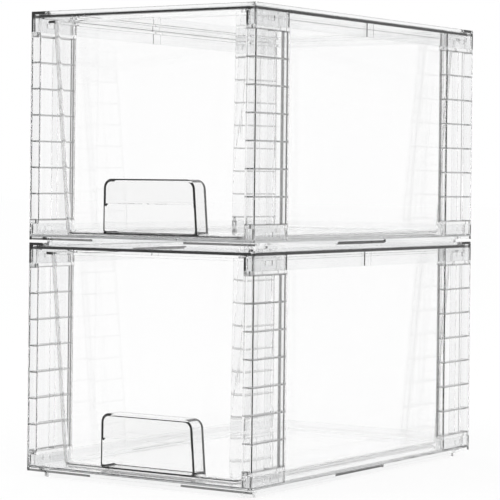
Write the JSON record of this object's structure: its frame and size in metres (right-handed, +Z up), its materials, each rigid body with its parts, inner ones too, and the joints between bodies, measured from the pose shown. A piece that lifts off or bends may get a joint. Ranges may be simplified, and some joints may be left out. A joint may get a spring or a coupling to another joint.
{
  "type": "stackable drawer box",
  "caption": "Clear plastic drawer units stacked one on the other: each has a snapped frame with ribbed corner posts and a sliding drawer with a recessed finger pull.",
  "frame": {"origin": "middle of the footprint, on the surface that the lower foot ring stands on", "axes": "+Z up, the drawers open toward -Y, +X to the right as seen from the front"},
  "size_m": [0.238, 0.376, 0.4077],
  "materials": {
    "frame_plastic": "clear polished",
    "panel_plastic": "clear polished",
    "drawer_plastic": "clear polished"
  },
  "bodies": {
    "lower_frame": {"lower_base_panel": "frame_plastic", "lower_top_panel": "frame_plastic", "lower_post_front_left": "frame_plastic", "lower_post_front_right": "frame_plastic", "lower_post_rear_left": "frame_plastic", "lower_post_rear_right": "frame_plastic", "lower_side_panel_left": "panel_plastic", "lower_side_panel_right": "panel_plastic", "lower_rear_panel": "panel_plastic"},
    "lower_drawer": {"lower_drawer": "drawer_plastic"},
    "upper_frame": {"upper_base_panel": "frame_plastic", "upper_top_panel": "frame_plastic", "upper_post_front_left": "frame_plastic", "upper_post_front_right": "frame_plastic", "upper_post_rear_left": "frame_plastic", "upper_post_rear_right": "frame_plastic", "upper_side_panel_left": "panel_plastic", "upper_side_panel_right": "panel_plastic", "upper_rear_panel": "panel_plastic"},
    "upper_drawer": {"upper_drawer": "drawer_plastic"}
  },
  "joints": [
    {"name": "lower_drawer_slide", "type": "slide", "parent": "lower_frame", "child": "lower_drawer", "axis": [0, -1, 0], "range_m": [0, 0.27]},
    {"name": "upper_lift", "type": "slide", "parent": "lower_frame", "child": "upper_frame", "axis": [0, 0, 1], "range_m": [0, 0.06]},
    {"name": "upper_drawer_slide", "type": "slide", "parent": "upper_frame", "child": "upper_drawer", "axis": [0, -1, 0], "range_m": [0, 0.27]}
  ]
}
